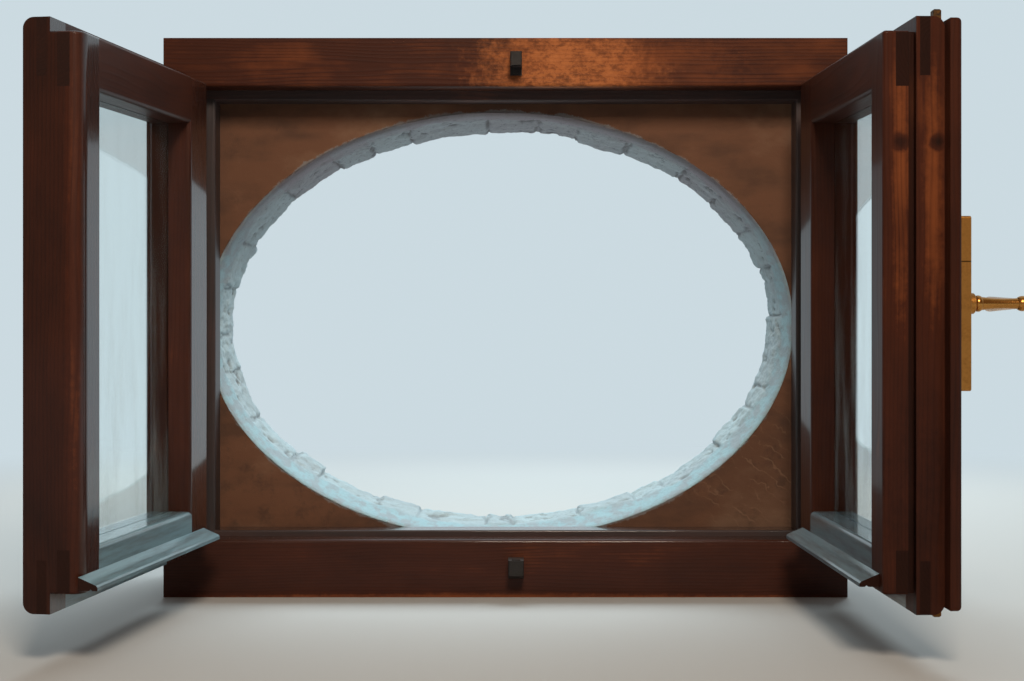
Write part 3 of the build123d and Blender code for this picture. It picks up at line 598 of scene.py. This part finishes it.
def worn_metal(name, bright, dull, roughness, blend, seam=None):
    """Metal whose tarnish follows noise: bright where handled, dull in patches and speckles.

    Blend is how gradually the tarnish sets in, and a seam is the height of a thin dark line
    round the piece.
    """
    material, finish = new_finish(name)
    place = finish.place()
    patches = finish.noise(place, scale=55.0, detail=5, rough=0.65)
    speckle = finish.noise(place, scale=420.0, detail=2)
    brushed = finish.noise(finish.stretch(place, (900.0, 900.0, 60.0)), detail=2)
    tarnish = finish.step(patches * 0.75 + speckle * 0.3, 0.42, 0.42 + blend)
    base = finish.mix(tarnish, bright, dull)
    if seam:
        # A thin dark line round the piece at the seam's height
        gap = finish.node("Math", {"operation": "ABSOLUTE"}, {0: finish.axis(place, "Z") - seam})
        seam_line = 0.85 - finish.step(gap, 0.0003, 0.0008) * 0.85
        base = finish.mix(seam_line, base, bpy.context.scene.casement_metal.seam)
    finish.surface(
        {"Metallic": 1.0},
        {"Base Color": base,
         "Roughness": roughness + tarnish * 0.25 + brushed * 0.08,
         "Normal": finish.bump(brushed * 0.4 + speckle * 0.6 + patches, 0.00012)},
    )
    return material


class CASEMENT_OT_cremone_bolt(bpy.types.Operator):
    """Finish the bolt's case, handle, rods, screws, racks and pinion"""

    bl_idname = "casement.cremone_bolt"
    bl_label = "Cremone bolt"

    seam_height = 0.341

    def execute(self, context):
        metal = context.scene.casement_metal
        brass = metal.brass, metal.brass_dull
        case = worn_metal("brass_case", *brass, roughness=0.3, blend=0.5, seam=self.seam_height)
        handled = worn_metal("brass_handle", *brass, roughness=0.2, blend=0.7)
        rod = worn_metal("rod_metal", metal.brass_dull, metal.iron, roughness=0.35, blend=0.3)
        steel = worn_metal("gear_steel", metal.steel, metal.iron_bare, roughness=0.35, blend=0.5)
        for material, pieces in (
            (case, ("cremone_case", "case_screws")),
            (handled, ("cremone_handle",)),
            (rod, ("top_rod", "bottom_rod")),
            (steel, ("cremone_pinion", "top_rack", "bottom_rack")),
        ):
            for piece in pieces:
                dress(piece, material)
        return {"FINISHED"}


class CASEMENT_OT_hinges(bpy.types.Operator):
    """Finish the barrel hinges of both leaves"""

    bl_idname = "casement.hinges"
    bl_label = "Hinges"

    def execute(self, context):
        metal = context.scene.casement_metal
        brass = metal.brass, metal.brass_dull
        material = worn_metal("hinge_brass", *brass, roughness=0.32, blend=0.4)
        for side in LEAF_TURN:
            for place in ("lower", "upper"):
                for half in ("pin", "socket"):
                    dress(f"{side}_{place}_hinge_{half}_half", material)
        return {"FINISHED"}


class CASEMENT_OT_keeps(bpy.types.Operator):
    """Blacken the keeps and the screw of the upper one"""

    bl_idname = "casement.keeps"
    bl_label = "Keeps"

    def execute(self, context):
        metal = context.scene.casement_metal
        material, finish = new_finish("keep_iron")
        place = finish.place()
        scale = finish.noise(place, scale=190.0, detail=4, rough=0.6)
        rust = finish.noise(place, scale=70.0, detail=4, rough=0.7)
        rim = finish.step(finish.axis(finish.place("Normal"), "Z"), 0.6, 0.95)
        base = finish.mix(finish.step(rust, 0.5, 0.75) * 0.5, metal.iron, metal.rust)
        finish.surface(
            {"Specular IOR Level": 0.4},
            {"Base Color": finish.mix(rim * 0.75, base, metal.iron_bare),
             "Metallic": 0.4 + rim * 0.4,
             "Roughness": 0.55 + scale * 0.2 - rim * 0.25,
             "Normal": finish.bump(scale, 0.0004)},
        )
        for piece in ("top_keep", "bottom_keep", "top_keep_screw"):
            dress(piece, material)
        return {"FINISHED"}


class CASEMENT_OT_wall_panel(bpy.types.Operator):
    """Colour the brown render and the plain masonry behind it"""

    bl_idname = "casement.wall_panel"
    bl_label = "Wall panel"

    # Waves per metre, and the turns about Y of the trowel marks and of the scratches
    cloud_waves = (7.0, 7.0, 10.0)
    trowel_waves = (9.0, 30.0, 34.0)
    trowel_lean = 0.5
    scratch_lean = 0.9

    # The heights over which the added blots low down fade, and the places over which the darker,
    # scratched corner sets in
    blot_heights = (0.14, 0.3)
    corner_sides = (0.17, 0.25)
    corner_heights = (0.14, 0.24)

    # The painted shade of the timber frame on the render sets in over these distances from the
    # timber's edge, less than 0 in the open. The smeared mortar ends well inside the ring's outer
    # edge, over a narrow blur.
    frame_shade_reach = (-0.016, 0.004)
    smear_inset = 0.0135
    smear_blur = 0.0012

    def execute(self, context):
        settings = context.scene.casement_stone
        dress("render_coat", self.render_coat(settings))
        dress("masonry_panel", self.masonry(settings))
        return {"FINISHED"}

    def render_coat(self, settings):
        """Brown render: clouds, trowel marks, blots, painted shade, scratches and smeared mortar.
        """
        material, finish = new_finish("brown_render")
        place = finish.place()
        clouds = finish.noise(finish.stretch(place, self.cloud_waves), detail=5, rough=0.6)
        trowel = finish.noise(finish.node("Mapping", {}, {
            "Vector": place, "Rotation": (0, self.trowel_lean, 0), "Scale": self.trowel_waves,
        }))
        sand = finish.noise(place, scale=900.0, detail=2)
        blots = finish.noise(place, scale=42.0, detail=4, rough=0.7)
        lower = 1 - finish.step(finish.axis(place, "Z"), *self.blot_heights)
        corner = (finish.step(finish.axis(place, "X"), *self.corner_sides)
                  * (1 - finish.step(finish.axis(place, "Z"), *self.corner_heights)))

        pale = finish.step(clouds, 0.48, 0.7) * 0.6
        damp = finish.step(clouds * 0.6 + trowel * 0.4, 0.5, 0.36) * 0.55
        blotted = finish.step(blots + lower * 0.1, 0.6, 0.8) * 0.5
        # Painted shade of the timber frame, darkening the render near the timber's edge
        frame_shade = finish.step(self.timber_edge(finish, place, blots), *self.frame_shade_reach) * 0.25
        body = finish.mix(pale, settings.render_brown, settings.render_pale)
        for stain in (damp, blotted, frame_shade, corner * 0.3):
            body = finish.mix(stain, body, settings.render_dark)
        scratches = self.scratches(finish, place) * corner * finish.step(blots, 0.4, 0.6)
        body = finish.mix(scratches * 0.35, body, settings.render_pale)
        smear = self.smear(finish, place, blots, sand)
        body = finish.mix(smear * 0.7, body, settings.smear)
        finish.surface(
            {"Specular IOR Level": 0.25},
            {"Base Color": body,
             "Roughness": 0.82 - finish.step(clouds, 0.4, 0.8) * 0.12,
             "Normal": finish.bump(trowel * 0.8 + sand * 0.12 + clouds * 1.2, 0.0016)},
        )
        return material

    def timber_edge(self, finish, place, blots):
        """How far a point lies under the timber frame, less than 0 where it is open to the room."""
        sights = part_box("frame_left_jamb")[1].x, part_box("frame_right_jamb")[0].x
        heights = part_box("frame_bottom_rail")[1].z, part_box("frame_head")[0].z
        across, upward = (
            finish.larger(low - finish.axis(place, letter), finish.axis(place, letter) - high)
            for letter, (low, high) in (("X", sights), ("Z", heights))
        )
        return finish.larger(across, upward) + (blots - 0.5) * 0.03

    def scratches(self, finish, place):
        """Thin crooked lines."""
        lines = finish.node("TexWave", {"bands_direction": "X"}, {
            "Vector": finish.node("Mapping", {}, {
                "Vector": place, "Rotation": (0, self.scratch_lean, 0),
            }),
            "Scale": 26.0, "Distortion": 5.0, "Detail": 2.0, "Detail Scale": 3.0,
        }, out="Fac")
        return finish.step(lines, 0.93, 0.99)

    def smear(self, finish, place, blots, sand):
        """1 from the oval out to a ragged line. The ring is scaled until it meets the point."""
        low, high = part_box("stone_ring")
        middle, half = (low + high) / 2, (high - low) / 2
        grown = finish.away(place, middle, (1 / half.x, 0, 1 / half.z))
        beyond = (grown - 1.0) * ((half.x + half.z) / 2) + self.smear_inset
        ragged = beyond + (blots - 0.5) * 0.016 + (sand - 0.5) * 0.004
        return 1 - finish.step(ragged, -self.smear_blur, self.smear_blur)

    def masonry(self, settings):
        """Plain lumpy masonry."""
        material, finish = new_finish("panel_masonry")
        place = finish.place()
        lumps = finish.noise(place, scale=24.0, detail=5, rough=0.6)
        sand = finish.noise(place, scale=700.0, detail=2)
        finish.surface(
            {"Specular IOR Level": 0.2},
            {"Base Color": finish.mix(lumps, settings.back_wall, settings.stone_shade),
             "Roughness": 0.86 + sand * 0.08,
             "Normal": finish.bump(lumps + sand * 0.15, 0.003)},
        )
        return material


def smooth_field(chance, shape, waves):
    """A random height field that closes on itself.

    It is white noise whose spectrum is multiplied by exp(-(k / waves)^2), with k the number of
    waves along each side, and then scaled to a standard deviation of one.
    """
    rows = np.fft.fftfreq(shape[0], 1 / shape[0])[:, None] / waves[0]
    columns = np.fft.rfftfreq(shape[1], 1 / shape[1])[None, :] / waves[1]
    spectrum = np.fft.rfft2(chance.standard_normal(shape)) * np.exp(-(rows**2 + columns**2))
    field = np.fft.irfft2(spectrum, shape)
    return field / field.std()


def ease(value, low, high):
    """The cubic 3t^2 - 2t^3 of t, which runs from 0 at low to 1 at high."""
    t = np.clip((value - low) / (high - low), 0, 1)
    return t * t * (3 - 2 * t)


def closed_mesh(name, points, attributes):
    """A mesh from a grid of points that closes on itself both ways, with faces outwards."""
    rows, columns = points.shape[:2]
    index = np.arange(rows * columns).reshape(rows, columns)
    right = np.roll(index, -1, 0)
    up = np.roll(index, -1, 1)
    faces = np.stack([index, right, np.roll(right, -1, 1), up], -1).reshape(-1, 4)
    corners = points.reshape(-1, 3)
    a, b, c, d = (corners[faces[:, k]] for k in range(4))
    volume = np.einsum("ij,ij->i", a, np.cross(b, c) + np.cross(c, d)).sum()
    if volume < 0:
        faces = faces[:, ::-1]
    mesh = bpy.data.meshes.new(name)
    mesh.from_pydata(corners.tolist(), [], faces.tolist())
    mesh.polygons.foreach_set("use_smooth", np.ones(len(faces), bool))
    for label, values in attributes.items():
        layer = mesh.attributes.new(label, "FLOAT", "POINT")
        layer.data.foreach_set("value", values.reshape(-1).astype(np.float32))
    mesh.update()
    piece = bpy.data.objects.new(name, mesh)
    bpy.context.scene.collection.objects.link(piece)
    return piece


class CASEMENT_OT_stone_reveal(bpy.types.Operator):
    """Lay the reveal of the oval: smooth mortar at the room edge, hewn stones behind it"""

    bl_idname = "casement.stone_reveal"
    bl_label = "Stone reveal"

    # The section of the solid ring that the reveal stands for, and the gap left to its neighbours
    ring_thickness = 0.016
    ring_lip = 0.0025
    taper = 0.009
    clearance = 0.0003

    # Steps from the room edge to the outdoor edge, and the seed of the stones
    depth_steps = 56
    seed = 5

    # How unevenly the stones are cut, the width and wander of their joints, and the room edge's
    # rounding
    length_spread = 0.3
    joint_width = 0.0018
    joint_wander = 0.0016
    rounding = 0.0016

    # Waves round the oval and through its depth. Lumps and grit have a height on mortar and more
    # on hewn stone.
    broad_waves, broad_height = (22, 2), 0.0007
    lump_waves, lump_heights = (90, 6), (0.00016, 0.00044)
    grit_waves, grit_heights = (330, 18), (0.00007, 0.00015)
    edge_waves, wander_waves = (26, 1), (60, 4)
    pit_depth = 0.001

    def execute(self, context):
        """A point is the oval's centre plus its half sizes, each grown by an offset, times the
        cosine and sine of the turn.
        """
        settings = context.scene.casement_stone
        low, high = (np.array(corner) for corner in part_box("stone_ring"))
        half_width = (high[0] - low[0]) / 2 - self.ring_thickness
        half_height = (high[2] - low[2]) / 2 - self.ring_thickness
        centre = (low + high) / 2
        turn = np.linspace(0, 2 * pi, settings.turns, endpoint=False)[:, None]
        depth = np.linspace(0, 1, self.depth_steps)[None, :]
        offset, attributes = self.relief(settings, half_width, half_height, turn, depth)
        section, level = self.section(offset, depth, low[1], high[1])
        points = np.stack([
            centre[0] + (half_width + section) * np.cos(turn),
            level,
            centre[2] + (half_height + section) * np.sin(turn),
        ], -1)

        def spread(values):
            """The values of the open side, with those of its outdoor edge over the rear faces."""
            full = np.zeros(section.shape)
            full[:, 2:2 + self.depth_steps] = values
            full[:, 2 + self.depth_steps:-2] = values[:, -1:]
            return full

        piece = closed_mesh("stone_reveal", points, {
            label: spread(values) for label, values in attributes.items()
        })
        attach(piece, "frame")
        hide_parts("stone_ring")
        piece.data.materials.append(self.finish(settings))
        return {"FINISHED"}

    def relief(self, settings, half_width, half_height, turn, depth):
        """How far the open side stands out at each turn and depth, and the mesh's attributes.

        The offset is the ring's taper with the stones' steps and joints and fine grit added.
        """
        turns, shape = turn.size, (turn.size, depth.size)
        chance = np.random.default_rng(self.seed)

        arc = np.sqrt((half_width * np.sin(turn)) ** 2 + (half_height * np.cos(turn)) ** 2)
        along = np.concatenate([[0], np.cumsum(arc[:, 0])])[:-1] * 2 * pi / turns
        girth = arc.mean() * 2 * pi
        stones = int(girth / settings.block_length)
        uneven = chance.uniform(-self.length_spread, self.length_spread, stones)
        ends = np.sort((np.arange(stones) + uneven) * girth / stones)
        stone = np.searchsorted(ends, along) % stones
        gap = np.abs(along[:, None] - np.concatenate([ends, ends + girth, ends - girth])[None, :])
        nearest = gap.min(1)[:, None]
        stand = chance.uniform(-1, 1, stones)[stone][:, None] * settings.block_step

        broad = smooth_field(chance, shape, self.broad_waves)
        lumps = smooth_field(chance, shape, self.lump_waves)
        grit = smooth_field(chance, shape, self.grit_waves)
        edge = (0.36 - 0.14 * np.sin(turn)
                + 0.05 * smooth_field(chance, (turns, 1), self.edge_waves))
        hewn = ease(depth, edge, edge + 0.16)
        wander = self.joint_wander * smooth_field(chance, shape, self.wander_waves)
        joint = np.exp(-(((nearest + wander) / self.joint_width) ** 2)) * hewn
        pits = ease(lumps + 0.5 * grit, 1.5, 2.3) * hewn
        shade = chance.uniform(0, 1, stones)[stone][:, None]

        offset = (
            -self.taper * depth
            - stand * hewn * (0.35 + 0.65 * depth)
            + settings.joint_depth * joint
            + self.broad_height * broad * (0.35 + 0.65 * hewn)
            + (self.lump_heights[0] + self.lump_heights[1] * hewn) * lumps
            + (self.grit_heights[0] + self.grit_heights[1] * hewn) * grit
            + self.pit_depth * pits
            + self.rounding * (1 - ease(depth, 0.0, 0.05))
        )
        return offset, {
            "hewn": hewn,
            "joint": np.clip(joint + pits, 0, 1),
            "stone_shade": shade * np.ones(shape),
        }

    def section(self, offset, depth, front, back):
        """The closed section at each turn, as distances from the oval and places along Y.

        It runs over the room edge, the open side, the rear and the side against the masonry.
        """
        render_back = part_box("render_coat")[1].y
        outer = self.ring_thickness - self.clearance
        lip = self.ring_lip - self.clearance
        sweep = np.ones((len(offset), 1))
        rear = offset[:, -1:] + (outer - offset[:, -1:]) * np.array([[0.25, 0.75]])
        distances = np.hstack([
            sweep * [[lip, 0.6 * lip + 0.0009]],
            offset,
            rear,
            sweep * [[outer, outer, outer, lip, lip]],
        ])
        step_back = render_back + self.clearance
        level = np.hstack([
            sweep * [[front, front]],
            sweep * (front + (back - front) * depth),
            sweep * [[back, back]],
            sweep * [[back, (back + render_back) / 2, step_back, step_back,
                      (front + render_back) / 2]],
        ])
        return distances, level

    def finish(self, settings):
        """Mortar and hewn stone, told apart by the mesh's own attributes."""
        material, finish = new_finish("reveal_stone")
        place = finish.place()
        hewn, joint, shade = (
            finish.node("Attribute", {"attribute_name": label}, out="Fac")
            for label in ("hewn", "joint", "stone_shade")
        )
        clouds = finish.noise(place, scale=26.0, detail=4, rough=0.6)
        specks = finish.noise(place, scale=240.0, rough=0.65)
        sand = finish.noise(place, scale=1100.0, detail=2)
        streaks = finish.noise(finish.stretch(place, (70.0, 26.0, 70.0)), detail=5, rough=0.62)
        # Painted shade: the reveal's upper half faces down, away from the daylight, so it is dimmed
        # towards stone_dim and its specks, joints and room edge are darkened more
        upper = finish.step(finish.axis(place, "Z") + (clouds - 0.5) * 0.12, 0.29, 0.48)
        rear = finish.step(finish.axis(finish.place("Normal"), "Y"), 0.4, 0.8)
        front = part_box("stone_ring")[0].y
        # Painted shade in a band along the reveal's room edge, strongest in the upper half
        edge_shade = 1 - finish.step(finish.axis(place, "Y") + (specks - 0.5) * 0.02, front,
                               front + 0.022)

        stone = finish.mix(shade * 0.3 + finish.step(clouds, 0.42, 0.7) * 0.3, settings.stone,
                           settings.grey)
        mortar = finish.mix(finish.step(streaks, 0.42, 0.6) * 0.75, settings.mortar,
                            settings.grey)
        body = finish.mix(hewn, mortar, stone)
        for amount, colour_over in (
            (upper * (0.75 - hewn * 0.35 + shade * 0.4), settings.stone_dim),
            (finish.step(specks, 0.54, 0.74) * (0.2 + upper * 0.6), settings.stone_shade),
            (rear * 0.65, settings.back_wall),
            (joint * (0.42 + upper * 0.4) * (1 - rear * 0.6), settings.stone_shade),
            (edge_shade * (0.12 + upper * 0.38), settings.edge_shade),
        ):
            body = finish.mix(amount, body, colour_over)
        finish.surface(
            {"Specular IOR Level": 0.25},
            {"Base Color": body,
             "Roughness": 0.78 + sand * 0.12,
             "Normal": finish.bump(specks * 0.8 + sand * 0.2, 0.0011)},
        )
        return material


def wide_floor(name, reach, rings=12, spokes=48, drop=0.0002):
    """A round sheet just under the window: radii that grow by squares, times the turn's cosine
    and sine.
    """
    radius = (np.linspace(0.1, 1, rings) ** 2 * reach)[:, None]
    turn = np.linspace(0, 2 * pi, spokes, endpoint=False)[None, :]
    points = np.stack([radius * np.cos(turn), radius * np.sin(turn),
                       np.full((rings, spokes), -drop)], -1).reshape(-1, 3)
    index = np.arange(rings * spokes).reshape(rings, spokes)
    after = np.roll(index, -1, 1)
    faces = np.stack([index[:-1], index[1:], after[1:], after[:-1]], -1).reshape(-1, 4)
    mesh = bpy.data.meshes.new(name)
    mesh.from_pydata(points.tolist(), [], [index[0].tolist(), *faces.tolist()])
    mesh.update()
    sheet = bpy.data.objects.new(name, mesh)
    bpy.context.scene.collection.objects.link(sheet)
    return sheet


def area_light(name, place, aim, size, power, shade):
    """A soft rectangular lamp at a place, turned towards what it lights."""
    lamp = bpy.data.lights.new(name, "AREA")
    lamp.shape = "RECTANGLE"
    lamp.size, lamp.size_y = size
    lamp.energy = power
    lamp.color = shade
    holder = bpy.data.objects.new(name, lamp)
    holder.location = place
    way = Vector(aim) - Vector(place)
    holder.rotation_euler = way.to_track_quat("-Z", "Y").to_euler()
    holder.visible_camera = False
    bpy.context.scene.collection.objects.link(holder)
    return holder


class CASEMENT_OT_stage(bpy.types.Operator):
    """Set the pale floor and backdrop, the soft lights and the camera"""

    bl_idname = "casement.stage"
    bl_label = "Stage"

    # The floor turns into the backdrop between two distances, which are longer sideways
    floor_reach = 14.0
    fade_distances = (1.0, 1.9)
    fade_shape = (0.8, 1, 0)

    # The even light changes from the room's to the sky's between these Y of its direction
    glow_change = (-0.5, 0.5)

    # The sideways place and the vertical shift that frame the window
    camera_side = 0.0068
    camera_shift = -0.0269
    sensor_width = 36

    def execute(self, context):
        settings = context.scene.casement_stage
        self.lay_floor(settings)
        daylight = area_light("daylight", (0.2, 1.5, 1.75), (0, 0, 0.28), (2.0, 1.2),
                              settings.daylight, settings.daylight_shade)
        daylight.visible_glossy = False
        area_light("room_lamp", (0.17, -2.0, 1.6), (0, 0, 0.35), (0.5, 0.5),
                   settings.lamp, settings.lamp_shade)
        self.fill_world(context.scene, settings)
        self.set_camera(context.scene, settings)
        context.scene.view_settings.view_transform = "Standard"
        return {"FINISHED"}

    def lay_floor(self, settings):
        """A floor that takes shadows near the window and looks like the backdrop far away."""
        sheet = wide_floor("floor", self.floor_reach)
        material, finish = new_finish("pale_floor")
        seen = finish.larger(finish.ray("Is Camera Ray"), finish.ray("Is Glossy Ray"))
        seen = finish.larger(seen, finish.ray("Is Transmission Ray"))
        away = finish.vector("LENGTH", finish.stretch(finish.place(), self.fade_shape))
        far = finish.step(away, *self.fade_distances)
        plain = finish.node("BsdfDiffuse", {}, {"Color": settings.floor})
        glow = finish.node("Emission", {}, {"Color": settings.far, "Strength": 1.0})
        finish.node("OutputMaterial", {}, {
            "Surface": finish.node("MixShader", {}, {0: seen * far, 1: plain, 2: glow})
        })
        sheet.data.materials.append(material)

    def fill_world(self, scene, settings):
        """The backdrop where it is seen, and otherwise an even light that comes mostly from the
        outdoor side.
        """
        world = scene.world or bpy.data.worlds.new("room")
        scene.world = world
        world.use_nodes = True
        air = Finish(world.node_tree)
        outdoors = air.step(air.axis(air.place("Generated"), "Y"), *self.glow_change)
        seen = air.larger(air.ray("Is Camera Ray"), air.ray("Is Transmission Ray"))
        seen = air.larger(seen, air.ray("Is Glossy Ray") * outdoors)
        light = air.mix(outdoors, settings.room_glow, settings.sky_glow)
        air.node("OutputWorld", {}, {
            "Surface": air.node("Background", {}, {
                "Color": air.mix(seen, light, settings.far),
                "Strength": seen * (1.0 - settings.fill) + settings.fill,
            })
        })

    def set_camera(self, scene, settings):
        """A level camera that looks outdoors."""
        camera = bpy.data.cameras.new("camera")
        camera.sensor_width = self.sensor_width
        camera.lens = settings.lens
        camera.shift_y = self.camera_shift
        holder = bpy.data.objects.new("camera", camera)
        holder.location = (self.camera_side, -settings.camera_distance, settings.camera_height)
        holder.rotation_euler = (pi / 2, 0, 0)
        scene.collection.objects.link(holder)
        scene.camera = holder


class CASEMENT_PT_sidebar(bpy.types.Panel):
    """Lists the steps that dress the window"""

    bl_idname = "CASEMENT_PT_sidebar"
    bl_label = "Casement window"
    bl_space_type = "VIEW_3D"
    bl_region_type = "UI"
    bl_category = "Casement"

    def draw(self, context):
        for name in SETTINGS:
            box = self.layout.box()
            group = getattr(context.scene, name)
            for prop in group.__annotations__:
                box.prop(group, prop)
        for step in STEPS:
            self.layout.operator(step.bl_idname)


SETTINGS = {
    "casement_timber": TimberSettings,
    "casement_stone": StoneSettings,
    "casement_metal": MetalSettings,
    "casement_pane": PaneSettings,
    "casement_stage": StageSettings,
}
STEPS = (
    CASEMENT_OT_timber_frame,
    CASEMENT_OT_leaf_timber,
    CASEMENT_OT_panes,
    CASEMENT_OT_cremone_bolt,
    CASEMENT_OT_hinges,
    CASEMENT_OT_keeps,
    CASEMENT_OT_wall_panel,
    CASEMENT_OT_stone_reveal,
    CASEMENT_OT_stage,
)


def register():
    for made in (*SETTINGS.values(), *STEPS, CASEMENT_PT_sidebar):
        bpy.utils.register_class(made)
    for name, group in SETTINGS.items():
        setattr(bpy.types.Scene, name, PointerProperty(type=group))


def unregister():
    for name in SETTINGS:
        delattr(bpy.types.Scene, name)
    for made in (CASEMENT_PT_sidebar, *reversed(STEPS), *reversed(SETTINGS.values())):
        bpy.utils.unregister_class(made)


def main():
    register()
    for step in STEPS:
        group, name = step.bl_idname.split(".")
        getattr(getattr(bpy.ops, group), name)()


if __name__ == "__main__":
    main()
